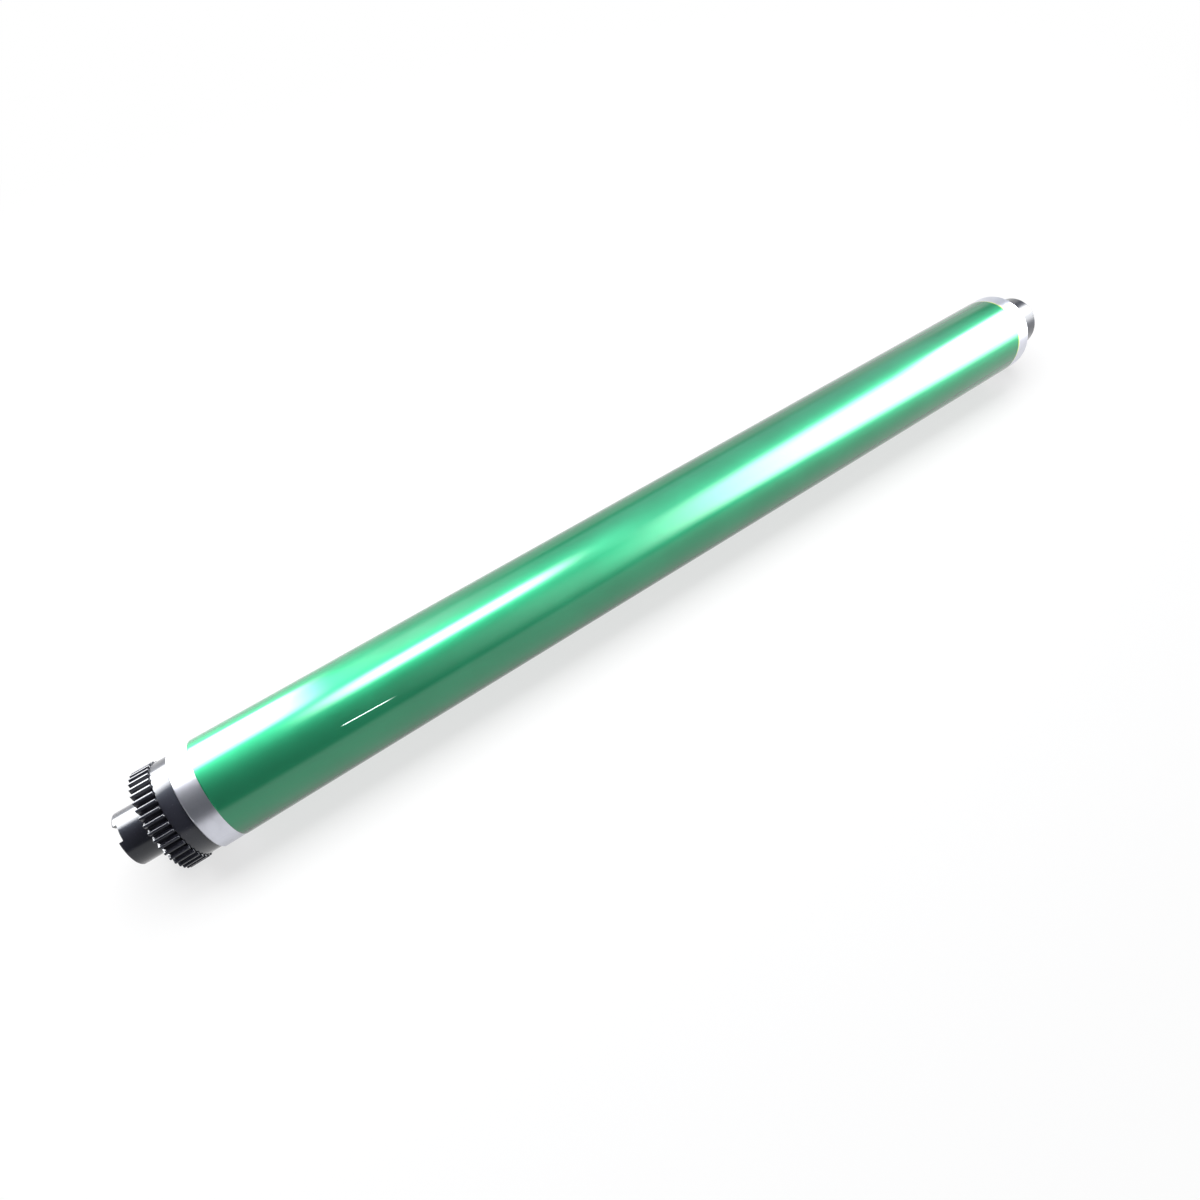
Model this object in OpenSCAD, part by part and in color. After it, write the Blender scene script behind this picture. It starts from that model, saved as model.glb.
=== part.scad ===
/* [Tube] */
// Outside diameter of the aluminium tube
tube_d = 30; // [24:0.5:40]
// Wall of the tube between the two end seats
tube_wall = 1.1; // [0.8:0.05:2]
// Length of the tube, face to face
tube_len = 332; // [240:1:380]
// Chamfer on the outer edge of each end of the tube
tube_chamfer = 0.25; // [0.1:0.05:0.35]
// How much deeper than the bore each end seat is turned
seat_step = 0.15; // [0.05:0.05:0.3]
// How much longer each end seat is than the spigot in it
seat_extra = 1; // [0.8:0.1:4]

/* [Coating] */
// Thickness of the green light-sensitive coating
coat_t = 0.1; // [0.05:0.01:0.3]
// Length over which the coating thins out at each end
coat_taper = 0.4; // [0.1:0.1:2]
// Bare metal band at the drive end
bare_drive = 5.8; // [2:0.1:15]
// Bare metal band at the plain end
bare_plain = 5.4; // [2:0.1:15]

/* [Drive gear] */
// Module of the gear
gear_module = 0.7; // [0.65:0.01:0.8]
// Number of teeth
gear_teeth = 41; // [38:1:46]
// Pressure angle of the teeth
pressure_angle = 20; // [18:0.5:25]
// Height of a tooth above the pitch circle, in modules
addendum = 0.95; // [0.7:0.05:1]
// Depth of a tooth space below the pitch circle, in modules
dedendum = 1.6; // [1.25:0.05:1.7]
// Width of the teeth along the axis
gear_face = 5.2; // [3:0.1:12]
// Wall of the rim under the teeth
rim_wall = 1.35; // [0.8:0.05:2.5]
// Turn of the teeth about the axis
gear_turn = 3.8; // [0:0.1:8]

/* [Flanges] */
// How far the collar that stops against the tube's end stays below the tube's outside
collar_step = 0.6; // [0.3:0.05:0.8]
// Width of the collar between the teeth and the tube
collar_w = 4.4; // [2:0.1:12]
// Length of each spigot inside the tube
spigot_len = 12; // [8:0.5:30]
// Wall of each spigot
spigot_wall = 1.5; // [1:0.1:2.5]
// Gap for adhesive between spigot and seat
glue_gap = 0.1; // [0.05:0.01:0.2]
// Lead-in chamfer at the inner end of each spigot
lead_in = 0.6; // [0.2:0.1:1]
// Ridges on each spigot that grip the seat
grip_count = 12; // [6:1:24]
// Width of a grip ridge
grip_w = 1; // [0.6:0.1:2]
// Thickness of the cross wall in each flange
web_t = 2; // [1.2:0.1:4]
// Thickness of the stiffening ribs
rib_t = 1.4; // [0.8:0.1:2]
// Ribs inside each spigot
back_ribs = 6; // [3:1:10]

/* [Drive hub] */
// Outside diameter of the drive hub
hub_d = 15.8; // [13:0.1:18]
// How far the hub stands out in front of the teeth
hub_out = 8.8; // [4:0.1:20]
// Step that thickens the root of the hub behind the gear's front face
hub_step = 0.3; // [0.1:0.1:0.8]
// Chamfer on the edges of hub and boss
edge_chamfer = 0.4; // [0.2:0.1:0.8]
// Diameter of the coupling recess in the hub's end
recess_d = 11.6; // [9:0.1:12]
// Depth of the coupling recess
recess_depth = 2.4; // [1:0.1:6]
// Width of the two coupling slots across the hub's end
slot_w = 4.8; // [2:0.1:6]
// Depth of the coupling slots
slot_depth = 1.2; // [0.5:0.1:2]
// Turn of the coupling slots about the axis
slot_turn = 8; // [0:1:90]
// Diameter of the cut-off moulding gate in the open front of the gear
gate_d = 2.2; // [1:0.1:3]
// How far the gate's end lies behind the teeth's front face
gate_setback = 0.8; // [0.3:0.1:3]
// Turn of the gate about the axis
gate_turn = 28; // [0:1:359]

/* [Shaft] */
// Diameter of the shaft bore through both flanges
shaft_d = 8; // [5:0.5:8]
// Wall round the bore inside the tube
sleeve_wall = 2; // [1.2:0.1:2.5]

/* [Plain end] */
// Outside diameter of the bearing boss
boss_d = 20; // [18:0.1:23]
// How far the boss stands out past the tube
boss_out = 12; // [5:0.1:25]
// Wall of the boss
boss_wall = 1.8; // [1.2:0.1:2.5]
// Thickness of the lip that stops against the tube's end
lip_t = 0.5; // [0.3:0.1:2]

/* [Ground contact] */
// Thickness of the spring plate
plate_t = 0.3; // [0.2:0.05:0.6]
// Number of barbs that bite into the tube's seat
barb_count = 6; // [3:3:12]
// Height of a barb
barb_h = 1.3; // [0.8:0.1:1.6]
// Width of a barb at its root
barb_w = 2; // [1:0.1:3]
// Width of a finger
finger_w = 2.4; // [1.5:0.1:3]
// Length of a finger along the axis
finger_reach = 4; // [2:0.1:8]
// Share of a finger's length at which it comes closest to the shaft
finger_bow = 0.75; // [0.5:0.05:0.9]
// Running gap between finger and shaft
finger_gap = 0.1; // [0.05:0.05:0.3]
// Gap between the plate's hole and the flange's sleeve
plate_clear = 0.6; // [0.2:0.1:1]
// Diameter of the rivet posts moulded on the flange
post_d = 1.6; // [1:0.1:2]
// Wall of the pillar behind each post
pillar_wall = 1; // [0.6:0.1:1.4]
// Gap round a post in its hole
post_gap = 0.1; // [0.05:0.05:0.2]
// Diameter of the heads melted over the plate
head_d = 2.8; // [2.2:0.1:3.2]
// Height of the melted heads
head_h = 0.5; // [0.3:0.1:1]

/* [Hidden] */
fine = 96;
small = 32;
overcut = 0.5;

tube_r = tube_d / 2;
bore_r = tube_r - tube_wall;
seat_r = bore_r + seat_step;
seat_len = spigot_len + seat_extra;
coat_len = tube_len - bare_drive - bare_plain;

pitch_r = gear_module * gear_teeth / 2;
base_r = pitch_r * cos(pressure_angle);
tip_r = pitch_r + addendum * gear_module;
root_r = pitch_r - dedendum * gear_module;
flank_steps = 4;
root_steps = 4;

collar_r = tube_r - collar_step;
spigot_r = seat_r - glue_gap;
spigot_in_r = spigot_r - spigot_wall;
shaft_r = shaft_d / 2;
sleeve_r = shaft_r + sleeve_wall;
hub_r = hub_d / 2;
boss_r = boss_d / 2;
pocket_r = min(root_r, collar_r) - rim_wall;

gear_x = -collar_w - gear_face;
hub_x = gear_x - hub_out;
plate_x = tube_len - spigot_len - plate_t;
post_ring_r = (sleeve_r + spigot_in_r) / 2;
post_turn = 180 / back_ribs;
post_count = 3;
pillar_r = post_d / 2 + pillar_wall;
plate_out_r = seat_r - barb_h;
plate_in_r = sleeve_r + plate_clear;

// Lays a solid that was made along +Z along +X, from x onwards
module along_x(x = 0) translate([x, 0, 0]) rotate([0, 90, 0]) children();

// A ring or, with no hole, a disc along +X from x0 to x1
module ring_x(x0, x1, outer_r, inner_r = 0) {
    along_x(x0) difference() {
        cylinder(h = x1 - x0, r = outer_r, $fn = fine);
        if (inner_r > 0)
            translate([0, 0, -overcut]) cylinder(h = x1 - x0 + 2 * overcut, r = inner_r, $fn = fine);
    }
}

// A cone along +X from radius r0 at x0 to radius r1 at x1
module cone_x(x0, x1, r0, r1) along_x(x0) cylinder(h = x1 - x0, r1 = r0, r2 = r1, $fn = fine);

// Copies round the axis
module around(count, turn = 0) for (i = [0:count - 1]) rotate([turn + i * 360 / count, 0, 0]) children();

// A flat rib in a plane through the axis, from r0 to r1 and x0 to x1
module rib(x0, x1, r0, r1) translate([x0, -rib_t / 2, r0]) cube([x1 - x0, rib_t, r1 - r0]);

// Involute function in degrees
function inv(a) = tan(a) * 180 / PI - a;

// Half the angle that a tooth fills at radius r
function half_tooth(r) =
    90 / gear_teeth + inv(pressure_angle) - (r > base_r ? inv(acos(base_r / r)) : 0);

function polar(r, a) = [r * cos(a), r * sin(a)];

// Radii along one flank, from where the involute starts to the tip
flank_r = [for (i = [0:flank_steps]) max(base_r, root_r) + (tip_r - max(base_r, root_r)) * i / flank_steps];

// Half the width of a tooth space at its foot, which a full round closes
foot_r = root_r * sin(180 / gear_teeth - half_tooth(root_r));

// Turns the point p by the angle a about the centre
function turned(p, a) = [p[0] * cos(a) - p[1] * sin(a), p[0] * sin(a) + p[1] * cos(a)];

// One tooth about angle a with the round foot of the space before it, counter-clockwise
function tooth(a) = concat(
    [for (i = [0:root_steps]) let (t = 180 * i / root_steps - 90)
        turned([root_r + foot_r * (1 - cos(t)), foot_r * sin(t)], a - 180 / gear_teeth)],
    [for (r = flank_r) polar(r, a - half_tooth(r))],
    [for (i = [flank_steps:-1:0]) polar(flank_r[i], a + half_tooth(flank_r[i]))]
);

module gear_outline() rotate(gear_turn) polygon([for (i = [0:gear_teeth - 1]) each tooth(i * 360 / gear_teeth)]);

// The spigot's skin with its lead-in and its grip ridges, from the tube's end face at x inwards along dir
module spigot(x, dir) {
    translate([x, 0, 0]) mirror([dir < 0 ? 1 : 0, 0, 0]) {
        ring_x(0, spigot_len - lead_in, spigot_r);
        cone_x(spigot_len - lead_in, spigot_len, spigot_r, spigot_r - lead_in);
        intersection() {
            ring_x(0, spigot_len - 2 * lead_in, seat_r);
            around(grip_count) translate([0, -grip_w / 2, spigot_r - lead_in])
                cube([spigot_len, grip_w, lead_in + 2 * glue_gap]);
        }
    }
}

// Aluminium tube: bright ends with a fine outer chamfer and a turned seat for each flange
module drum_tube() {
    color([0.80, 0.80, 0.82]) along_x() rotate_extrude($fn = fine) polygon([
        [seat_r, 0], [tube_r - tube_chamfer, 0], [tube_r, tube_chamfer],
        [tube_r, tube_len - tube_chamfer], [tube_r - tube_chamfer, tube_len], [seat_r, tube_len],
        [seat_r, tube_len - seat_len], [bore_r, tube_len - seat_len], [bore_r, seat_len], [seat_r, seat_len]
    ]);
}

// Coating on the tube, tapered off at both ends
module photoconductor_coating() {
    color([0.16, 0.56, 0.36]) along_x(bare_drive) rotate_extrude($fn = fine) polygon([
        [tube_r, 0], [tube_r + coat_t, coat_taper], [tube_r + coat_t, coat_len - coat_taper], [tube_r, coat_len]
    ]);
}

// Drive flange, one moulding: toothed rim, ribbed front pocket, collar, coupling hub and spigot
module drive_gear_flange() {
    color([0.07, 0.07, 0.08]) {
        difference() {
            union() {
                along_x(gear_x) linear_extrude(gear_face) gear_outline();
                ring_x(-collar_w, 0, collar_r);
                spigot(0, 1);
            }
            ring_x(gear_x - overcut, -web_t, pocket_r);
            ring_x(0, spigot_len + overcut, spigot_in_r);
            ring_x(-web_t - overcut, overcut, shaft_r);
        }
        difference() {
            union() {
                cone_x(hub_x, hub_x + edge_chamfer, hub_r - edge_chamfer, hub_r);
                ring_x(hub_x + edge_chamfer, gear_x, hub_r);
                ring_x(gear_x, -web_t, hub_r + hub_step);
                ring_x(0, spigot_len, sleeve_r);
            }
            ring_x(hub_x - overcut, spigot_len + overcut, shaft_r);
            ring_x(hub_x - overcut, hub_x + recess_depth, recess_d / 2);
            cone_x(spigot_len - edge_chamfer, spigot_len, shaft_r, shaft_r + edge_chamfer);
            around(2, slot_turn) translate([hub_x - overcut, -slot_w / 2, 0])
                cube([slot_depth + overcut, slot_w, hub_r + overcut]);
        }
        around(back_ribs) rib(0, spigot_len - lead_in, sleeve_r - sleeve_wall / 2, spigot_in_r + spigot_wall / 2);
        rotate([gate_turn, 0, 0]) translate([0, 0, (hub_r + pocket_r) / 2])
            along_x(gear_x + gate_setback) cylinder(h = -web_t / 2 - gear_x - gate_setback, d = gate_d, $fn = small);
    }
}

// Plain flange, one moulding: hollow bearing boss, stop lip and spigot with posts for the ground plate
module plain_end_flange() {
    inner_x = tube_len - spigot_len;
    boss_x = tube_len + boss_out;
    color([0.07, 0.07, 0.08]) {
        difference() {
            union() {
                spigot(tube_len, -1);
                ring_x(tube_len, tube_len + lip_t, collar_r);
                ring_x(tube_len, boss_x - edge_chamfer, boss_r);
                cone_x(boss_x - edge_chamfer, boss_x, boss_r, boss_r - edge_chamfer);
            }
            ring_x(inner_x - overcut, tube_len + lip_t - web_t, spigot_in_r);
            ring_x(inner_x - overcut, boss_x - web_t, boss_r - boss_wall);
            ring_x(boss_x - web_t - overcut, boss_x + overcut, shaft_r);
        }
        difference() {
            ring_x(inner_x, boss_x - web_t, sleeve_r, shaft_r);
            cone_x(inner_x, inner_x + edge_chamfer, shaft_r + edge_chamfer, shaft_r);
        }
        around(back_ribs) {
            rib(inner_x + lead_in, tube_len + lip_t - web_t, sleeve_r - sleeve_wall / 2, spigot_in_r + spigot_wall / 2);
            rib(tube_len + lip_t - web_t, boss_x - web_t, sleeve_r - sleeve_wall / 2, boss_r - boss_wall / 2);
        }
        around(post_count, post_turn) translate([0, 0, post_ring_r]) {
            ring_x(inner_x, tube_len + lip_t - web_t / 2, pillar_r);
            ring_x(plate_x, inner_x, post_d / 2);
            ring_x(plate_x - head_h, plate_x, head_d / 2);
        }
    }
}

// Outline of a strip of thickness t that follows the points of path
function strip(path, t) = let (
    last = len(path) - 1,
    dirs = [for (i = [0:last - 1]) (path[i + 1] - path[i]) / norm(path[i + 1] - path[i])],
    turn = [for (i = [0:last]) dirs[max(i - 1, 0)] + dirs[min(i, last - 1)]],
    side = [for (d = turn) [-d[1], d[0]] / norm(d)]
) concat(path, [for (i = [last:-1:0]) path[i] + side[i] * t]);

// Spring plate: flat ring with barbs that bite into the tube and fingers that lean on the shaft
module ground_contact_plate() {
    near_r = shaft_r + finger_gap + plate_t;
    finger_path = [
        [plate_in_r + overcut, 0], [plate_in_r - plate_t, 0],
        [near_r, finger_reach * finger_bow], [near_r + plate_t, finger_reach]
    ];
    color([0.78, 0.72, 0.55]) {
        along_x(plate_x) linear_extrude(plate_t) difference() {
            union() {
                circle(r = plate_out_r, $fn = fine);
                for (i = [0:barb_count - 1]) rotate(i * 360 / barb_count) polygon([
                    [plate_in_r, -barb_w / 2], [plate_out_r - plate_t, -barb_w / 2], [seat_r, 0],
                    [plate_out_r - plate_t, barb_w / 2], [plate_in_r, barb_w / 2]
                ]);
            }
            circle(r = plate_in_r, $fn = fine);
            for (i = [0:post_count - 1]) rotate(180 + post_turn + i * 360 / post_count)
                translate([post_ring_r, 0]) circle(d = post_d + 2 * post_gap, $fn = small);
        }
        around(post_count, post_turn + 180 / post_count) translate([plate_x, finger_w / 2, 0])
            rotate([90, 0, 0]) linear_extrude(finger_w)
                polygon([for (p = strip(finger_path, plate_t)) [-p[1], p[0]]]);
    }
}

drum_tube();
photoconductor_coating();
drive_gear_flange();
plain_end_flange();
ground_contact_plate();
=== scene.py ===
"""A printer drum lying on pale paper: green coated tube, gear flange at the near end, bearing flange at the far end."""

import logging
import math
from dataclasses import dataclass, field
from enum import Enum
from typing import Any, Callable, Sequence

import bmesh
import bpy
from mathutils import Matrix, Vector


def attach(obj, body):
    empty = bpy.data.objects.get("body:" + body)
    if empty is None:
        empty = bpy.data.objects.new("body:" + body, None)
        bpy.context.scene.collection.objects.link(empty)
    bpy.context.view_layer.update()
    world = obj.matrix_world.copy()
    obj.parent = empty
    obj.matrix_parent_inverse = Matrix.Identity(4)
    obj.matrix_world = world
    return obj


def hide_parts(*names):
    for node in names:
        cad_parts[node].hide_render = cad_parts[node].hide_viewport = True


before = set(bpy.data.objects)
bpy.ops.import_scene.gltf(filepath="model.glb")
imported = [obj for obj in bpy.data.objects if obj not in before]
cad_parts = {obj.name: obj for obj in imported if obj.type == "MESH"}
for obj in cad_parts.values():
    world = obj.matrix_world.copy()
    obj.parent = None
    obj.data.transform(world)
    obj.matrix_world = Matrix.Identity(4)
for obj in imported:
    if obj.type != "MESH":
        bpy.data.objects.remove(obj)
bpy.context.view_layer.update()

MM = 0.001
BODY = "root"
SHARP_TURN = math.radians(32.0)
log = logging.getLogger("printer_drum")

Point = tuple[float, float, float]
Colour = tuple[float, float, float]
Corner = tuple[float, float, float]


class Slot(Enum):
    """Material slots of the record."""

    TUBE = "tube_metal"
    COATING = "green_coating"
    PLASTIC = "black_plastic"
    SPRING = "spring_metal"


class Lit(Enum):
    """What a lamp lights, as the paper's state in its list of receivers."""

    PAPER_ALONE = "INCLUDE"
    ALL_BUT_PAPER = "EXCLUDE"


# Shader building


class Value:
    """A node socket that can be used in ordinary arithmetic."""

    def __init__(self, shade: "Shade", socket: bpy.types.NodeSocket) -> None:
        """Wraps an output socket.

        Args:
            shade: the node tree it belongs to.
            socket: the output socket.
        """
        self.shade = shade
        self.socket = socket

    def _math(self, operation: str, *others: Any) -> "Value":
        """Adds a Math node.

        Args:
            operation: its operation.
            others: the other operands, sockets or numbers.

        Returns:
            Its result.
        """
        inputs = {i: v for i, v in enumerate((self, *others))}
        return self.shade.node("ShaderNodeMath", {"operation": operation}, inputs)

    def _flipped(self, operation: str, other: float) -> "Value":
        """Adds a Math node whose first operand is a number, and returns its result."""
        return self.shade.node("ShaderNodeMath", {"operation": operation}, {0: other, 1: self})

    def __add__(self, other: Any) -> "Value":
        """The sum."""
        return self._math("ADD", other)

    def __radd__(self, other: float) -> "Value":
        """The sum with a number on the left."""
        return self._flipped("ADD", other)

    def __sub__(self, other: Any) -> "Value":
        """The difference."""
        return self._math("SUBTRACT", other)

    def __rsub__(self, other: float) -> "Value":
        """A number less this."""
        return self._flipped("SUBTRACT", other)

    def __mul__(self, other: Any) -> "Value":
        """The product."""
        return self._math("MULTIPLY", other)

    def __rmul__(self, other: float) -> "Value":
        """The product with a number on the left."""
        return self._flipped("MULTIPLY", other)

    def beside(self, name: str) -> "Value":
        """Another output of the same node."""
        return Value(self.shade, self.socket.node.outputs[name])

    def at_least(self, other: Any) -> "Value":
        """The greater of this and another."""
        return self._math("MAXIMUM", other)

    def angle_with(self, other: "Value") -> "Value":
        """The angle whose tangent is this over another."""
        return self._math("ARCTAN2", other)

    def distance_to(self, other: float) -> "Value":
        """How far this is from a number."""
        return (self - other)._math("ABSOLUTE")

    def ramp(self, low: float, high: float, to_low: float = 0.0, to_high: float = 1.0) -> "Value":
        """Runs smoothly from one level to another.

        Args:
            low: where it starts to change.
            high: where it has changed.
            to_low: the level up to low.
            to_high: the level from high.

        Returns:
            The smooth step.
        """
        settings = {"interpolation_type": "SMOOTHSTEP", "clamp": True}
        return self.shade.node("ShaderNodeMapRange", settings, {0: self, 1: low, 2: high, 3: to_low, 4: to_high})


class Shade:
    """Builds one node tree."""

    def __init__(self, tree: bpy.types.NodeTree) -> None:
        """Empties the tree.

        Args:
            tree: the node tree of a material, lamp or world.
        """
        self.tree = tree
        tree.nodes.clear()

    def node(self, kind: str, settings: dict[str, Any] | None = None, inputs: dict[Any, Any] | None = None,
             out: Any = 0) -> Value:
        """Adds a node.

        Args:
            kind: the node's type.
            settings: its properties, which are set first.
            inputs: socket name or number to a value or a link.
            out: name or number of the output that is returned.

        Returns:
            The chosen output, or the first input of a node that ends a tree.
        """
        made = self.tree.nodes.new(kind)
        for name, value in (settings or {}).items():
            setattr(made, name, value)
        for name, value in (inputs or {}).items():
            if isinstance(value, Value):
                self.tree.links.new(value.socket, made.inputs[name])
            else:
                made.inputs[name].default_value = value
        return Value(self, made.outputs[out]) if made.outputs else Value(self, made.inputs[0])

    def place(self) -> Value:
        """The place on the object, in metres."""
        return self.node("ShaderNodeTexCoord", out="Object")

    def axes(self, vector: Value) -> tuple[Value, Value, Value]:
        """Splits a vector.

        Args:
            vector: the vector.

        Returns:
            Its three parts.
        """
        x = self.node("ShaderNodeSeparateXYZ", inputs={0: vector}, out="X")
        return x, x.beside("Y"), x.beside("Z")

    def stretched(self, vector: Value, scale: Point) -> Value:
        """Scales a vector.

        Args:
            vector: the vector.
            scale: a factor for each part.

        Returns:
            The scaled vector.
        """
        return self.node("ShaderNodeVectorMath", {"operation": "MULTIPLY"}, {0: vector, 1: scale})

    def noise(self, vector: Value, scale: float, detail: float = 2.0, roughness: float = 0.5) -> Value:
        """Adds a noise texture.

        Args:
            vector: where it is read.
            scale: cells in a metre of the vector.
            detail: octaves.
            roughness: how much the fine octaves count.

        Returns:
            Its level, about 0.5 on average.
        """
        inputs = {"Vector": vector, "Scale": scale, "Detail": detail, "Roughness": roughness}
        return self.node("ShaderNodeTexNoise", {}, inputs)

    def mix(self, factor: Any, first: Any, second: Any) -> Value:
        """Blends two colours.

        Args:
            factor: 0 for the first, 1 for the second.
            first: a colour or a link.
            second: a colour or a link.

        Returns:
            The blend.
        """
        full = [(*c, 1.0) if isinstance(c, tuple) else c for c in (first, second)]
        return self.node("ShaderNodeMix", {"data_type": "RGBA"}, {0: factor, 6: full[0], 7: full[1]}, 2)

    def bump(self, height: Value, depth: float) -> Value:
        """Adds a bump.

        Args:
            height: level from 0 to 1.
            depth: how high a level of 1 stands, in metres.

        Returns:
            The normal.
        """
        return self.node("ShaderNodeBump", {}, {"Height": height, "Distance": depth, "Strength": 1.0}, "Normal")


@dataclass(frozen=True)
class Finish:
    """Base of all finishes: a principled surface whose varying parts a subclass paints."""

    name: str = "finish"

    def fixed(self) -> dict[str, Any]:
        """Levels that are the same all over the surface."""
        return {}

    def painted(self, shade: Shade) -> dict[str, Value]:
        """Levels that vary over the surface."""
        return {}

    def material(self) -> bpy.types.Material:
        """Builds the material, once.

        Returns:
            The material.
        """
        found = bpy.data.materials.get(self.name)
        if found:
            return found
        made = bpy.data.materials.new(self.name)
        made.use_nodes = True
        shade = Shade(made.node_tree)
        surface = shade.node("ShaderNodeBsdfPrincipled", {}, {**self.fixed(), **self.painted(shade)})
        shade.node("ShaderNodeOutputMaterial", {}, {"Surface": surface})
        return made


@dataclass(frozen=True)
class GreenFilm(Finish):
    """Light-sensitive film: a clear gloss over a green layer that lets the metal below shine through.

    The painted highlight is a pale hairline near the gear end that stands in for a thin reflection. It is given by its
    ends along the axis, its turn at each end, the half width that is full and the half width where it ends, and the
    lengths over which it starts and runs out.
    """

    name: str = "green_film"
    green: Colour = (0.016, 0.198, 0.093)
    cloud_scale: float = 60.0
    cloud_tone: float = 0.92
    haze: float = 0.40
    haze_swing: float = 0.05
    haze_scale: float = 350.0
    metal_share: float = 0.85
    rim: Colour = (0.72, 0.80, 0.10)
    rim_x: float = 326.0 * MM
    rim_fade: float = 0.12 * MM
    radius: float = 15.1 * MM
    # painted highlight: a pale mint hairline along the axis that stands in for a thin reflection near the gear end
    painted_highlight: tuple[float, float] = (41.6 * MM, 58.7 * MM)
    painted_highlight_turn: tuple[float, float] = (51.3, 49.2)
    painted_highlight_half: tuple[float, float] = (0.052 * MM, 0.156 * MM)
    painted_highlight_fade: tuple[float, float] = (1.5 * MM, 5.0 * MM)
    painted_highlight_colour: Colour = (0.75, 1.0, 0.90)

    def fixed(self) -> dict[str, Any]:
        """Gloss of the film, which is a deeper green at a slant."""
        return {"Coat Weight": 1.0, "Coat Roughness": 0.08, "Coat IOR": 1.55, "IOR": 1.3,
                "Specular Tint": (0.30, 0.08, 0.15, 1.0)}

    def _painted_highlight_line(self, x: Value, y: Value, z: Value) -> Value:
        """Painted highlight: a pale hairline near the gear end that stands in for a thin reflection.

        Args:
            x: place along the axis.
            y: place towards the back.
            z: place upwards.

        Returns:
            1 on the painted highlight, 0 off it.
        """
        start, end = self.painted_highlight
        starts, runs_out = self.painted_highlight_fade
        first, last = (math.radians(a) for a in self.painted_highlight_turn)
        line = first + (x - start) * ((last - first) / (end - start))
        off = (z.angle_with(0.0 - y) - line).distance_to(0.0) * self.radius
        across = off.ramp(*self.painted_highlight_half, 1.0, 0.0)
        return across * x.ramp(start, start + starts) * x.ramp(end - runs_out, end, 1.0, 0.0)

    def painted(self, shade: Shade) -> dict[str, Value]:
        """Green with faint clouds, a painted hairline highlight, and a yellowish rim at the plain end.

        Args:
            shade: the material's node tree.

        Returns:
            The sockets that vary.
        """
        place = shade.place()
        x, y, z = shade.axes(place)
        cloud = shade.noise(place, self.cloud_scale, 3.0)
        deep = tuple(c * self.cloud_tone for c in self.green)
        green = shade.mix(cloud.ramp(0.35, 0.65), deep, self.green)
        at_rim = x.ramp(self.rim_x, self.rim_x + self.rim_fade)
        # painted highlight: the line gets a pale mint base colour and loses the metal share, so that it shows as a
        # bright line
        painted_highlight = self._painted_highlight_line(x, y, z)
        return {
            "Base Color": shade.mix(painted_highlight, shade.mix(at_rim, green, self.rim), self.painted_highlight_colour),
            "Roughness": self.haze + self.haze_swing * shade.noise(place, self.haze_scale, 2.0),
            "Metallic": self.metal_share - self.metal_share * painted_highlight,
        }


@dataclass(frozen=True)
class TurnedAluminium(Finish):
    """Bare tube metal with fine turning marks round the axis."""

    name: str = "turned_aluminium"
    metal: Colour = (0.58, 0.59, 0.65)
    dull: float = 0.93
    mark_scale: Point = (9000.0, 25.0, 25.0)
    mark_depth: float = 0.0016 * MM
    smear_scale: float = 420.0
    rough: float = 0.24

    def fixed(self) -> dict[str, Any]:
        """Plain metal."""
        return {"Metallic": 1.0}

    def painted(self, shade: Shade) -> dict[str, Value]:
        """Turning marks in roughness and height, smears in tone and roughness.

        Args:
            shade: the material's node tree.

        Returns:
            The sockets that vary.
        """
        place = shade.place()
        marks = shade.noise(shade.stretched(place, self.mark_scale), 1.0, 2.0, 0.6)
        smear = shade.noise(place, self.smear_scale, 3.0)
        dull = tuple(c * self.dull for c in self.metal)
        return {
            "Base Color": shade.mix(smear.ramp(0.4, 0.7), self.metal, dull),
            "Roughness": self.rough + 0.08 * marks + 0.05 * smear,
            "Normal": shade.bump(marks, self.mark_depth),
        }


@dataclass(frozen=True)
class BlackMoulding(Finish):
    """Glossy black plastic as it comes from the mould."""

    name: str = "black_moulding"
    black: Colour = (0.007, 0.007, 0.010)
    grain: Point = (900.0, 900.0, 900.0)
    grain_depth: float = 0.006 * MM
    dust: Colour = (0.10, 0.10, 0.12)
    dust_scale: float = 3200.0
    patch_scale: float = 260.0
    rough: float = 0.32

    def fixed(self) -> dict[str, Any]:
        """Moulded skin: sharp gloss over a duller, bluish sheen."""
        return {"IOR": 1.28, "Specular Tint": (0.70, 0.82, 1.0, 1.0), "Coat Weight": 1.0, "Coat Roughness": 0.07,
                "Coat IOR": 1.40}

    def painted(self, shade: Shade) -> dict[str, Value]:
        """Fine grain, a few dust specks and uneven gloss.

        Args:
            shade: the material's node tree.

        Returns:
            The sockets that vary.
        """
        place = shade.place()
        grain = shade.noise(shade.stretched(place, self.grain), 1.0, 3.0, 0.6)
        specks = shade.noise(place, self.dust_scale, 1.0).ramp(0.72, 0.78)
        patch = shade.noise(place, self.patch_scale, 2.0)
        return {
            "Base Color": shade.mix(specks * 0.5, self.black, self.dust),
            "Roughness": self.rough + 0.10 * patch + 0.25 * specks,
            "Normal": shade.bump(grain, self.grain_depth),
        }


@dataclass(frozen=True)
class SpringSheet(Finish):
    """Stamped copper alloy of the contact plate."""

    name: str = "spring_sheet"
    bright: Colour = (0.80, 0.58, 0.30)
    tarnished: Colour = (0.60, 0.40, 0.20)
    stain_scale: float = 500.0

    def fixed(self) -> dict[str, Any]:
        """Plain metal."""
        return {"Metallic": 1.0}

    def painted(self, shade: Shade) -> dict[str, Value]:
        """Slight tarnish.

        Args:
            shade: the material's node tree.

        Returns:
            The sockets that vary.
        """
        stain = shade.noise(shade.place(), self.stain_scale, 3.0).ramp(0.35, 0.7)
        return {
            "Base Color": shade.mix(stain, self.bright, self.tarnished),
            "Roughness": 0.28 + 0.15 * stain,
        }


# Mesh building


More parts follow.
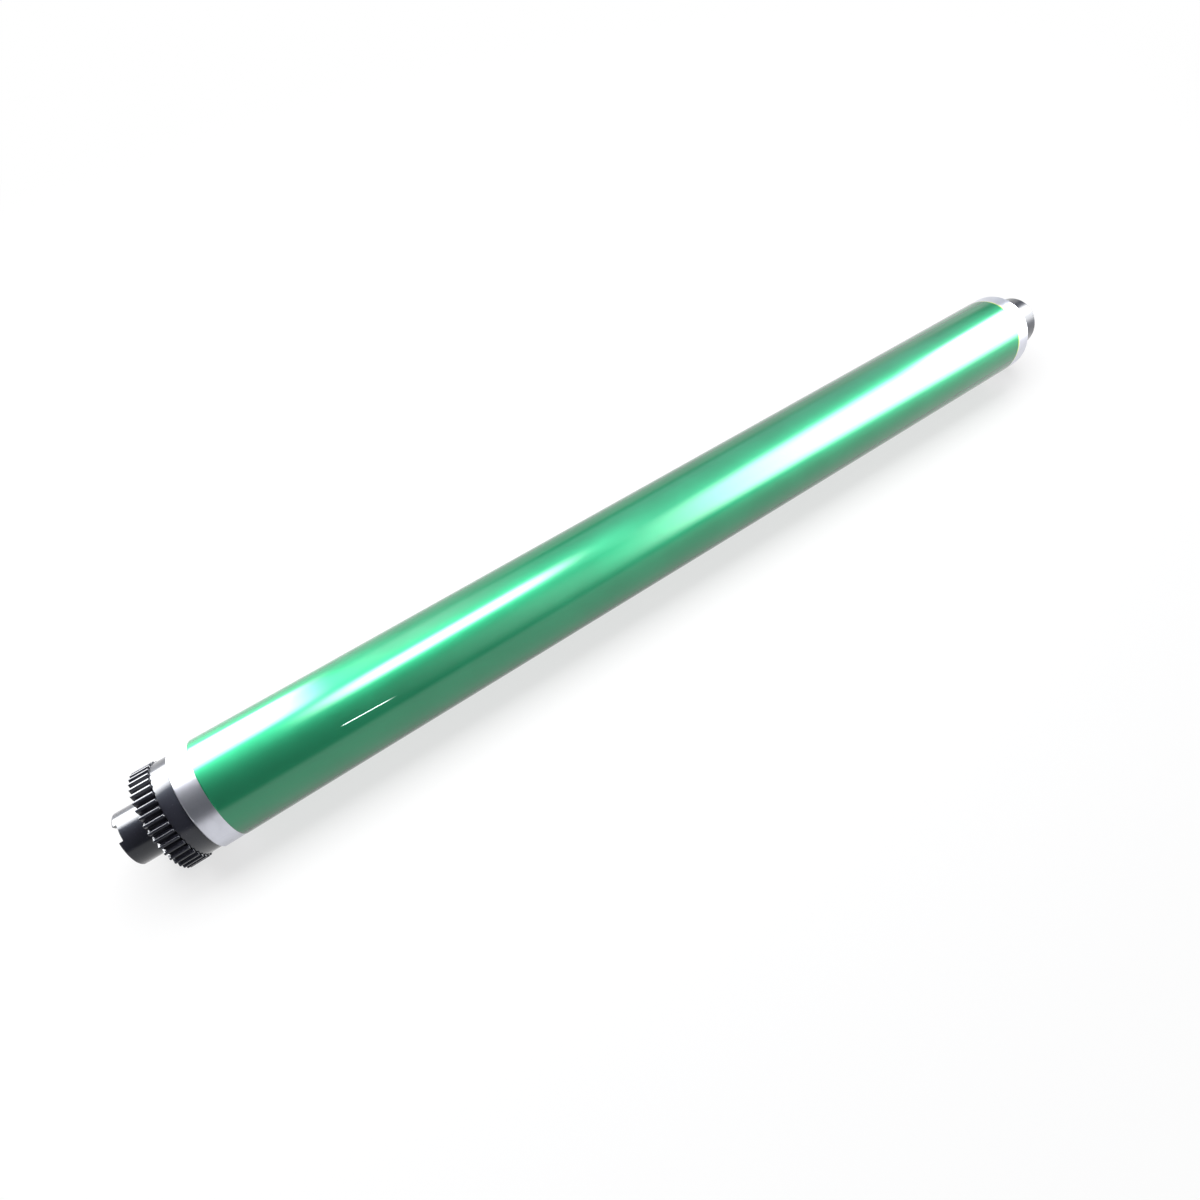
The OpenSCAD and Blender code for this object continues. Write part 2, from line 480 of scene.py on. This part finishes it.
def arc_corner(before: Corner, at: Corner, after: Corner, steps: int) -> list[tuple[float, float]]:
    """Rounds one corner of an outline.

    Args:
        before: the corner before it, as two places and a rounding radius.
        at: the corner.
        after: the corner after it.
        steps: how many chords the arc gets.

    Returns:
        The points that take the corner's place.
    """
    here, radius = Vector(at[:2]), at[2]
    if radius <= 0:
        return [(here.x, here.y)]
    a, b = (Vector(before[:2]) - here).normalized(), (Vector(after[:2]) - here).normalized()
    half = a.angle(b) / 2
    centre = here + (a + b).normalized() * radius / math.sin(half)
    start = here + a * radius / math.tan(half) - centre
    turn = start.angle_signed(here + b * radius / math.tan(half) - centre)
    points = []
    for i in range(steps + 1):
        angle = -turn * i / steps
        points.append((centre.x + start.x * math.cos(angle) - start.y * math.sin(angle),
                       centre.y + start.x * math.sin(angle) + start.y * math.cos(angle)))
    return points


def rounded(corners: Sequence[Corner], steps: int = 4) -> list[tuple[float, float]]:
    """Rounds the corners of a closed outline.

    Args:
        corners: two places and a rounding radius each.
        steps: chords in each arc.

    Returns:
        The outline's points.
    """
    points: list[tuple[float, float]] = []
    for i, corner in enumerate(corners):
        points += arc_corner(corners[i - 1], corner, corners[(i + 1) % len(corners)], steps)
    return points


def ring(x: float, radius: float, count: int, turn: float = 0.0) -> list[Point]:
    """Points on a circle about the axis.

    Args:
        x: place along the axis.
        radius: the circle's radius.
        count: how many points.
        turn: angle of the first one from +Y towards +Z.

    Returns:
        The points.
    """
    step = 2 * math.pi / count
    return [(x, radius * math.cos(turn + i * step), radius * math.sin(turn + i * step)) for i in range(count)]


def face_outwards(mesh: bpy.types.Mesh) -> None:
    """Turns the faces of a closed mesh outwards.

    Args:
        mesh: the mesh.
    """
    shape = bmesh.new()
    shape.from_mesh(mesh)
    bmesh.ops.recalc_face_normals(shape, faces=shape.faces)
    shape.to_mesh(mesh)
    shape.free()


class Piece:
    """One visible piece of the drum."""

    def __init__(self, name: str, slot: Slot, finish: Finish, *nodes: str) -> None:
        """Names the piece.

        Args:
            name: its name.
            slot: the record's slot, which is kept but not used.
            finish: its finish.
            nodes: CAD nodes that it stands for.
        """
        self.name, self.slot, self.finish, self.nodes = name, slot, finish, nodes

    def add(self, points: Sequence[Point], faces: Sequence[Sequence[int]]) -> bpy.types.Object:
        """Makes the object and lets it ride on the drum.

        Args:
            points: the mesh's points.
            faces: the mesh's faces.

        Returns:
            The object.
        """
        mesh = bpy.data.meshes.new(self.name)
        mesh.from_pydata([Vector(p) for p in points], [], [list(f) for f in faces])
        mesh.validate()
        face_outwards(mesh)
        mesh.shade_smooth()
        mesh.set_sharp_from_angle(angle=SHARP_TURN)
        made = bpy.data.objects.new(self.name, mesh)
        bpy.context.scene.collection.objects.link(made)
        made.data.materials.append(self.finish.material())
        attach(made, BODY)
        if self.nodes:
            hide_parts(*self.nodes)
        log.info("%s: %d faces", self.name, len(mesh.polygons))
        return made

    def lathe(self, corners: Sequence[Corner], count: int = 256) -> bpy.types.Object:
        """Turns a closed outline about the axis.

        Args:
            corners: place along the axis, radius and rounding radius of each corner.
            count: columns round the axis.

        Returns:
            The object.
        """
        return self.loft([ring(x, r, count) for x, r in rounded(corners)], closed=True)

    def loft(self, rings: Sequence[Sequence[Point]], closed: bool = False, caps: bool = False) -> bpy.types.Object:
        """Joins rings of equally many points.

        Args:
            rings: the rings, in order.
            closed: whether the last ring joins the first.
            caps: whether the first and the last ring are filled.

        Returns:
            The object.
        """
        count = len(rings[0])
        points = [p for r in rings for p in r]
        faces: list[tuple[int, ...]] = []
        for i in range(len(rings) if closed else len(rings) - 1):
            a, b = i * count, (i + 1) % len(rings) * count
            for j in range(count):
                k = (j + 1) % count
                faces.append((a + j, a + k, b + k, b + j))
        if caps:
            faces.append(tuple(reversed(range(count))))
            faces.append(tuple((len(rings) - 1) * count + j for j in range(count)))
        return self.add(points, faces)


# The drum


@dataclass(frozen=True)
class TubeSizes:
    """Sizes that the tube shares with what sits on it or in it."""

    radius: float = 15.0 * MM
    length: float = 332.0 * MM
    bore: float = 13.9 * MM
    seat: float = 14.05 * MM
    seat_length: float = 13.0 * MM
    chamfer: float = 0.25 * MM
    columns: int = 320


@dataclass
class Tube:
    """The aluminium tube with its turned seats."""

    sizes: TubeSizes = field(default_factory=TubeSizes)
    break_edge: float = 0.06 * MM

    def build(self) -> None:
        """Makes the tube."""
        s, e = self.sizes, self.break_edge
        end = s.length
        Piece("tube_shell", Slot.TUBE, TurnedAluminium(), "drum_tube").lathe([
            (0.0, s.seat, e), (0.0, s.radius - s.chamfer, e), (s.chamfer, s.radius, e),
            (end - s.chamfer, s.radius, e), (end, s.radius - s.chamfer, e), (end, s.seat, e),
            (end - s.seat_length, s.seat, 0.0), (end - s.seat_length, s.bore, 0.0),
            (s.seat_length, s.bore, 0.0), (s.seat_length, s.seat, 0.0),
        ], s.columns)


@dataclass
class Film:
    """The green film on the tube."""

    sizes: TubeSizes = field(default_factory=TubeSizes)
    start: float = 5.8 * MM
    end: float = 326.6 * MM
    thickness: float = 0.1 * MM
    taper: float = 0.4 * MM
    inset: float = 0.02 * MM

    def build(self) -> None:
        """Makes the film as a thin sleeve whose ends run out."""
        r = self.sizes.radius
        top = r + self.thickness
        soft = self.taper / 2
        Piece("green_film", Slot.COATING, GreenFilm(), "photoconductor_coating").lathe([
            (self.start, r - self.inset, 0.0), (self.start + self.taper, top, soft),
            (self.end - self.taper, top, soft), (self.end, r - self.inset, 0.0),
        ], self.sizes.columns)


@dataclass
class GearFlange:
    """The drive flange: toothed rim, open front, collar, coupling hub and spigot."""

    sizes: TubeSizes = field(default_factory=TubeSizes)
    module: float = 0.7 * MM
    teeth: int = 41
    turn: float = 3.8
    pressure: float = 20.0
    addendum: float = 0.95
    dedendum: float = 1.6
    face: float = 5.2 * MM
    tip_round: float = 0.30 * MM
    tooth_edge: float = 0.09 * MM
    rim: float = 1.35 * MM
    collar_step: float = 0.6 * MM
    collar_width: float = 4.4 * MM
    collar_edge: float = 0.12 * MM
    seat_gap: float = 0.02 * MM
    web: float = 2.0 * MM
    hub: float = 7.9 * MM
    hub_out: float = 8.8 * MM
    hub_step: float = 0.3 * MM
    edge: float = 0.4 * MM
    recess: float = 5.8 * MM
    recess_depth: float = 2.4 * MM
    slot_width: float = 4.8 * MM
    slot_depth: float = 1.2 * MM
    slot_turn: float = 8.0
    gate: float = 1.1 * MM
    gate_setback: float = 0.8 * MM
    gate_turn: float = 28.0
    bore: float = 4.0 * MM
    sleeve: float = 6.0 * MM
    spigot: float = 13.95 * MM
    spigot_inside: float = 12.45 * MM
    spigot_length: float = 12.0 * MM
    lead_in: float = 0.4 * MM
    hub_columns: int = 192
    gate_columns: int = 40
    plastic: BlackMoulding = BlackMoulding()
    hub_plastic: BlackMoulding = BlackMoulding(
        name="black_hub", grain=(60.0, 2600.0, 2600.0), grain_depth=0.010 * MM)

    def __post_init__(self) -> None:
        """Works out the places and radii that follow from the others."""
        self.pitch = self.module * self.teeth / 2
        self.base = self.pitch * math.cos(math.radians(self.pressure))
        self.tip = self.pitch + self.addendum * self.module
        self.root = self.pitch - self.dedendum * self.module
        self.collar = self.sizes.radius - self.collar_step
        self.pocket = min(self.root, self.collar) - self.rim
        self.gear_x = -self.collar_width - self.face
        self.hub_x = self.gear_x - self.hub_out

    def _half_tooth(self, radius: float) -> float:
        """Half the angle that a tooth fills.

        Args:
            radius: where it is measured.

        Returns:
            The angle in radians.
        """
        def inv(angle: float) -> float:
            """Involute function of an angle in radians."""
            return math.tan(angle) - angle

        at_radius = inv(math.acos(self.base / radius)) if radius > self.base else 0.0
        return math.pi / 2 / self.teeth + inv(math.radians(self.pressure)) - at_radius

    def _outline(self, shrink: float = 0.0) -> list[tuple[float, float]]:
        """The gear's outline with round roots and softened tips.

        Args:
            shrink: how far the tips are drawn inwards; the roots stay.

        Returns:
            Its points, counter-clockwise.
        """
        soft = self.tip_round
        root_steps, flank_steps, tip_steps = 8, 5, 5
        foot = self.root * math.sin(math.pi / self.teeth - self._half_tooth(self.root))
        low, high = max(self.base, self.root), self.tip - soft
        points: list[Vector] = []
        for i in range(self.teeth):
            centre = math.radians(self.turn) - math.pi / 2 + i * 2 * math.pi / self.teeth
            gap = centre - math.pi / self.teeth
            for k in range(root_steps + 1):
                t = math.pi * k / root_steps - math.pi / 2
                across, out = foot * math.sin(t), self.root + foot * (1 - math.cos(t))
                points.append(Vector((out * math.cos(gap) - across * math.sin(gap),
                                      out * math.sin(gap) + across * math.cos(gap))))
            radii = [low + (high - low) * k / flank_steps for k in range(flank_steps + 1)]
            flank = [(r, self._half_tooth(r)) for r in radii]
            edge = self._half_tooth(high)
            arc = [math.pi / 2 * k / tip_steps for k in range(1, tip_steps + 1)]
            flank += [(high + soft * math.sin(a), edge - soft * (1 - math.cos(a)) / self.tip) for a in arc]
            points += [Vector((r * math.cos(centre - a), r * math.sin(centre - a))) for r, a in flank]
            points += [Vector((r * math.cos(centre + a), r * math.sin(centre + a))) for r, a in reversed(flank)]
        moved = []
        for i, p in enumerate(points):
            along = points[(i + 1) % len(points)] - points[i - 1]
            share = min(max((p.length - low) / (high - low), 0.0), 1.0)
            moved.append(p - Vector((along.y, -along.x)).normalized() * shrink * share)
        return [(p.x, p.y) for p in moved]

    def _build_teeth(self) -> None:
        """Makes the toothed rim with the wall of the open front."""
        soft, back = self.tooth_edge, -self.collar_width
        full, less = self._outline(), self._outline(soft)
        count = len(full)
        first = math.atan2(full[0][1], full[0][0])

        def at(x: float, outline: list[tuple[float, float]]) -> list[Point]:
            """Stands an outline at a place along the axis."""
            return [(x, y, z) for y, z in outline]

        wall = [(self.gear_x, self.pocket + soft), (self.gear_x + soft * 0.3, self.pocket + soft * 0.3),
                (self.gear_x + soft, self.pocket), (-self.web, self.pocket)]
        rings = [ring(x, r, count, first) for x, r in reversed(wall)]
        rings += [at(self.gear_x, less), at(self.gear_x + soft, full), at(back - soft, full), at(back, less)]
        rings.append(ring(back, self.root - self.rim / 2, count, first))
        Piece("gear_rim", Slot.PLASTIC, self.plastic, "drive_gear_flange").loft(rings, closed=True)

    def _build_collar(self) -> None:
        """Makes the collar with the cross wall and the spigot."""
        soft, back = self.collar_edge, -self.seat_gap
        front, depth = -self.collar_width, self.spigot_length
        Piece("gear_collar", Slot.PLASTIC, self.plastic).lathe([
            (front, self.pocket, 0.0), (front, self.collar, soft), (back, self.collar, soft),
            (back, self.spigot, 0.0), (depth, self.spigot, self.lead_in), (depth, self.spigot_inside, 0.1 * MM),
            (0.0, self.spigot_inside, 0.2 * MM), (0.0, self.sleeve, 0.2 * MM), (depth, self.sleeve, 0.2 * MM),
            (depth, self.bore, 0.3 * MM), (-self.web, self.bore, 0.0), (-self.web, self.pocket, 0.0),
        ])

    def _build_hub(self) -> None:
        """Makes the hub and cuts the two coupling slots across its end."""
        e, x = self.edge, self.hub_x
        floor = x + self.recess_depth
        root = self.hub + self.hub_step
        hub = Piece("coupling_hub", Slot.PLASTIC, self.hub_plastic).lathe([
            (x, self.recess, 0.15 * MM), (x, self.hub, e), (self.gear_x - 0.15 * MM, self.hub, 0.1 * MM),
            (self.gear_x + 0.15 * MM, root, 0.1 * MM), (-self.web - 0.6 * MM, root, 0.3 * MM),
            (-self.web, root + 0.6 * MM, 0.0), (-self.web / 2, root, 0.0), (-self.web / 2, self.bore, 0.0),
            (floor, self.bore, 0.2 * MM), (floor, self.recess, 0.2 * MM),
        ], self.hub_columns)
        self._cut_slots(hub)

    def _cut_slots(self, hub: bpy.types.Object) -> None:
        """Cuts the slots.

        Args:
            hub: the turned hub.
        """
        w, d, reach, over = self.slot_width / 2, self.slot_depth, self.hub * 1.5, 1.0 * MM
        outline = rounded([(-w, -over, 0.0), (w, -over, 0.0), (w, d, 0.25 * MM), (-w, d, 0.25 * MM)])
        turn = Matrix.Rotation(math.radians(self.slot_turn), 4, "X")
        n = len(outline)
        points = [turn @ Vector((self.hub_x + depth, across, end)) for end in (-reach, reach)
                  for across, depth in outline]
        faces = [(i, (i + 1) % n, n + (i + 1) % n, n + i) for i in range(n)]
        faces += [tuple(reversed(range(n))), tuple(range(n, 2 * n))]
        mesh = bpy.data.meshes.new("slot_cutter")
        mesh.from_pydata(points, [], faces)
        face_outwards(mesh)
        cutter = bpy.data.objects.new("slot_cutter", mesh)
        bpy.context.scene.collection.objects.link(cutter)
        cut = hub.modifiers.new("slots", "BOOLEAN")
        cut.operation, cut.solver, cut.object = "DIFFERENCE", "EXACT", cutter
        bake_modifiers(hub)
        bpy.data.objects.remove(cutter)

    def _build_gate(self) -> None:
        """Makes the cut-off gate that stands in the open front, with its torn end."""
        count, r = self.gate_columns, self.gate
        out = (self.hub + self.pocket) / 2
        turn = Matrix.Rotation(math.radians(self.gate_turn), 4, "X")
        end, foot = self.gear_x + self.gate_setback, -self.web + 0.2 * MM

        def torn(angle: float) -> float:
            """How far the torn end falls back at an angle."""
            waves = ((0.28, 2, 0.6), (0.14, 5, 2.0), (0.07, 11, 0.0))
            return sum(size * math.sin(times * angle + shift) for size, times, shift in waves) * MM

        def band(radius: float, place: Callable[[float], float]) -> list[Point]:
            """A ring of the stub whose place along the axis depends on the angle."""
            angles = [2 * math.pi * i / count for i in range(count)]
            return [turn @ Vector((place(a), radius * math.cos(a), out + radius * math.sin(a))) for a in angles]

        Piece("gate_stub", Slot.PLASTIC, self.plastic).loft([
            band(r * 1.12, lambda a: foot),
            band(r, lambda a: foot - 1.0 * MM),
            band(r * 0.96, lambda a: end + 0.5 * MM),
            band(r, lambda a: end + 0.25 * MM + torn(a) * 0.5),
            band(r * 1.06, lambda a: end + 0.1 * MM + torn(a)),
            band(r * 0.94, lambda a: end + torn(a + 0.2)),
            band(r * 0.6, lambda a: end + 0.3 * MM + 0.5 * torn(a)),
            band(r * 0.25, lambda a: end + 0.35 * MM),
        ], caps=True)

    def build(self) -> None:
        """Makes the whole flange."""
        self._build_teeth()
        self._build_collar()
        self._build_hub()
        self._build_gate()


@dataclass
class BearingFlange:
    """The plain flange: hollow boss, stop lip and spigot."""

    sizes: TubeSizes = field(default_factory=TubeSizes)
    boss: float = 10.0 * MM
    boss_out: float = 12.0 * MM
    wall: float = 1.8 * MM
    web: float = 2.0 * MM
    edge: float = 0.4 * MM
    lip: float = 0.5 * MM
    lip_radius: float = 14.4 * MM
    lip_edge: float = 0.12 * MM
    seat_gap: float = 0.02 * MM
    bore: float = 4.0 * MM
    sleeve: float = 6.0 * MM
    spigot: float = 13.95 * MM
    spigot_inside: float = 12.45 * MM
    spigot_length: float = 12.0 * MM
    lead_in: float = 0.4 * MM
    plastic: BlackMoulding = BlackMoulding()

    def build(self) -> None:
        """Makes the flange."""
        start = self.sizes.length
        end, inner = start + self.boss_out, start - self.spigot_length
        face, step = end - self.web, start + self.lip
        inside, soft = self.boss - self.wall, self.lip_edge
        front = start + self.seat_gap
        Piece("bearing_flange", Slot.PLASTIC, self.plastic, "plain_end_flange").lathe([
            (end, self.bore, 0.3 * MM), (end, self.boss, self.edge), (step, self.boss, 0.3 * MM),
            (step, self.lip_radius, soft), (front, self.lip_radius, soft), (front, self.spigot, 0.0),
            (inner, self.spigot, self.lead_in), (inner, self.spigot_inside, 0.1 * MM),
            (step - self.web, self.spigot_inside, 0.2 * MM), (step - self.web, inside, 0.2 * MM),
            (face, inside, 0.2 * MM), (face, self.sleeve, 0.2 * MM), (inner, self.sleeve, 0.2 * MM),
            (inner, self.bore, 0.3 * MM),
        ])


@dataclass
class ContactPlate:
    """The stamped spring plate inside the plain end, whose solid is right as it is."""

    node: str = "ground_contact_plate"

    def build(self) -> None:
        """Dresses the plate."""
        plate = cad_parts[self.node]
        plate.data.materials.clear()
        plate.data.materials.append(SpringSheet().material())
        log.info("%s: dressed", self.node)


def bake_modifiers(made: bpy.types.Object) -> None:
    """Applies an object's modifiers to its mesh.

    Args:
        made: the object.
    """
    graph = bpy.context.evaluated_depsgraph_get()
    shaped = bpy.data.meshes.new_from_object(made.evaluated_get(graph))
    made.modifiers.clear()
    made.data = shaped
    shaped.shade_smooth()
    shaped.set_sharp_from_angle(angle=SHARP_TURN)


# The studio


@dataclass(frozen=True)
class SoftBox:
    """A soft rectangular lamp, placed round the drum's axis.

    It stands along the axis at one place and aims at another. Its height is the angle from the front horizon over the
    drum, its level the brightness of its face, and its feather the share of each side over which it fades.
    """

    name: str
    along: float
    height: float
    distance: float
    length: float
    width: float
    level: float
    colour: Colour = (1.0, 1.0, 1.0)
    aim: float = 0.16
    feather: tuple[float, float] = (0.25, 0.25)
    lights: Lit = Lit.ALL_BUT_PAPER

    def build(self, receivers: bpy.types.Collection) -> None:
        """Makes the lamp.

        Args:
            receivers: what it lights.
        """
        lamp = bpy.data.lights.new(self.name, "AREA")
        lamp.shape, lamp.size, lamp.size_y = "RECTANGLE", self.length, self.width
        lamp.energy = math.pi * self.length * self.width * self.level
        lamp.color = self.colour
        lamp.use_nodes = True
        shade = Shade(lamp.node_tree)
        u, v, _ = shade.axes(shade.node("ShaderNodeTexCoord", out="UV"))
        soft = 1.0
        for place, feather in zip((u, v), self.feather):
            soft = (0.5 - place.distance_to(0.5)).ramp(0.0, feather) * soft
        glow = shade.node("ShaderNodeEmission", {}, {"Strength": soft})
        shade.node("ShaderNodeOutputLight", {}, {"Surface": glow})
        made = bpy.data.objects.new(self.name, lamp)
        bpy.context.scene.collection.objects.link(made)
        angle = math.radians(self.height)
        where = Vector((self.along, -self.distance * math.cos(angle), self.distance * math.sin(angle)))
        back = (where - Vector((self.aim, 0.0, 0.0))).normalized()
        right = (Vector((1.0, 0.0, 0.0)) - back * back.x).normalized()
        made.matrix_world = placed(right, back.cross(right), back, where)
        made.visible_camera = False
        made.light_linking.receiver_collection = receivers


def placed(right: Vector, up: Vector, back: Vector, where: Vector) -> Matrix:
    """A matrix from three directions and a place.

    Args:
        right: where its X axis points.
        up: where its Y axis points.
        back: where its Z axis points.
        where: its origin.

    Returns:
        The matrix.
    """
    turned = Matrix((right, up, back)).transposed().to_4x4()
    turned.translation = where
    return turned


@dataclass
class Studio:
    """Pale floor, lamps, dim room and the camera.

    The paper glows white to the eye and in reflections. Near the drum its own matt surface takes a share, which keeps
    the drum's shadow.
    """

    floor_middle: Point = (163.0 * MM, 0.0, -15.15 * MM)
    floor_size: float = 6.0
    lamps: tuple[SoftBox, ...] = (
        SoftBox("back_lamp", -0.061, 145.0, 0.18, 0.19, 0.26, 26.0, feather=(0.24, 0.32), aim=-0.03),
        SoftBox("top_lamp", 0.0975, 101.0, 0.22, 0.215, 0.125, 30.0, feather=(0.35, 0.50), aim=0.11),
        SoftBox("back_fill", 0.085, 140.0, 0.25, 0.22, 0.27, 2.4, feather=(0.50, 0.40), aim=0.08),
        SoftBox("side_lamp", 0.55, 59.0, 0.28, 0.62, 0.52, 19.0, feather=(0.40, 0.36), aim=0.42),
        SoftBox("end_lamp", 0.72, 84.0, 0.28, 0.25, 0.34, 20.0, feather=(0.35, 0.35), aim=0.34),
        SoftBox("sky_lamp", 0.46, 118.0, 0.35, 0.70, 0.72, 1.2, (0.80, 0.92, 1.0), aim=0.42),
        SoftBox("front_fill", 0.19, 49.0, 0.28, 0.42, 0.36, 1.1, feather=(0.50, 0.42), aim=0.12),
        SoftBox("left_lamp", -0.30, 20.0, 0.20, 0.04, 0.04, 30.0, aim=-0.01),
        SoftBox("paper_lamp", 0.16, 112.0, 0.80, 1.60, 0.60, 7.5, lights=Lit.PAPER_ALONE),
    )
    paper: Colour = (0.80, 0.80, 0.80)
    paper_bounce: Colour = (0.10, 0.10, 0.10)
    paper_squash: Point = (0.6, 1.0, 1.0)
    paper_fade: tuple[float, float] = (0.12, 0.40)
    paper_share: tuple[float, float] = (0.70, 1.0)
    horizon: Colour = (1.0, 1.0, 1.0)
    overhead: Colour = (0.085, 0.09, 0.10)
    room_fade: tuple[float, float] = (0.15, 0.36)
    eye: Point = (0.058756, -0.107467, 0.195721)
    right: Point = (0.817500, -0.575930, 0.0)
    down: Point = (-0.493810, -0.700930, -0.514640)
    lens: float = 21.4516
    sensor: float = 36.0
    clip: tuple[float, float] = (0.005, 50.0)

    def _floor(self) -> bpy.types.Object:
        """Makes the white paper that the drum lies on.

        Returns:
            The paper.
        """
        half = self.floor_size / 2
        corners = [(-half, -half, 0.0), (half, -half, 0.0), (half, half, 0.0), (-half, half, 0.0)]
        mesh = bpy.data.meshes.new("paper_floor")
        mesh.from_pydata(corners, [], [(0, 1, 2, 3)])
        floor = bpy.data.objects.new("paper_floor", mesh)
        floor.location = self.floor_middle
        bpy.context.scene.collection.objects.link(floor)
        paper = bpy.data.materials.new("white_paper")
        paper.use_nodes = True
        shade = Shade(paper.node_tree)
        path = shade.node("ShaderNodeLightPath", out="Is Camera Ray")
        seen = path.at_least(path.beside("Is Glossy Ray")).at_least(path.beside("Is Transmission Ray"))
        matt = shade.node("ShaderNodeBsdfDiffuse", {}, {"Color": shade.mix(seen, self.paper_bounce, self.paper)})
        around = shade.stretched(shade.place(), self.paper_squash)
        away = shade.node("ShaderNodeVectorMath", {"operation": "LENGTH"}, {0: around}, "Value")
        share = seen * away.ramp(*self.paper_fade, *self.paper_share)
        glow = shade.node("ShaderNodeEmission", {}, {"Color": (1.0, 1.0, 1.0, 1.0), "Strength": 1.0})
        both = shade.node("ShaderNodeMixShader", {}, {0: share, 1: matt, 2: glow})
        shade.node("ShaderNodeOutputMaterial", {}, {"Surface": both})
        mesh.materials.append(paper)
        return floor

    @staticmethod
    def _receivers(floor: bpy.types.Object, lit: Lit) -> bpy.types.Collection:
        """Makes the list that says what a lamp lights.

        Args:
            floor: the paper.
            lit: what is to be lit.

        Returns:
            The list.
        """
        listed = bpy.data.collections.new(lit.name.lower())
        listed.objects.link(floor)
        listed.collection_objects[0].light_linking.link_state = lit.value
        return listed

    def _room(self) -> None:
        """Makes the room: pale near the horizon, dim overhead."""
        world = bpy.data.worlds.new("room")
        bpy.context.scene.world = world
        world.use_nodes = True
        shade = Shade(world.node_tree)
        _, _, up = shade.axes(shade.node("ShaderNodeTexCoord", out="Generated"))
        colour = shade.mix(up.ramp(*self.room_fade), self.horizon, self.overhead)
        surface = shade.node("ShaderNodeBackground", {}, {"Color": colour})
        shade.node("ShaderNodeOutputWorld", {}, {"Surface": surface})

    def _camera(self) -> None:
        """Places the camera where the photograph was taken from."""
        camera = bpy.data.cameras.new("camera")
        camera.sensor_fit, camera.sensor_width, camera.lens = "HORIZONTAL", self.sensor, self.lens
        camera.clip_start, camera.clip_end = self.clip
        made = bpy.data.objects.new("camera", camera)
        bpy.context.scene.collection.objects.link(made)
        right = Vector(self.right).normalized()
        up = -Vector(self.down).normalized()
        made.matrix_world = placed(right, up, right.cross(up), Vector(self.eye))
        bpy.context.scene.camera = made

    def build(self) -> None:
        """Sets everything up."""
        bpy.context.scene.view_settings.view_transform = "Standard"
        self._camera()
        self._room()
        floor = self._floor()
        receivers = {lit: self._receivers(floor, lit) for lit in Lit}
        for lamp in self.lamps:
            lamp.build(receivers[lamp.lights])
        log.info("studio: %d lamps", len(self.lamps))


def main() -> None:
    """Builds the studio and the drum."""
    logging.basicConfig(level=logging.INFO, format="%(message)s")
    for part in (Studio(), Tube(), Film(), GearFlange(), BearingFlange(), ContactPlate()):
        part.build()


if __name__ == "__main__":
    main()
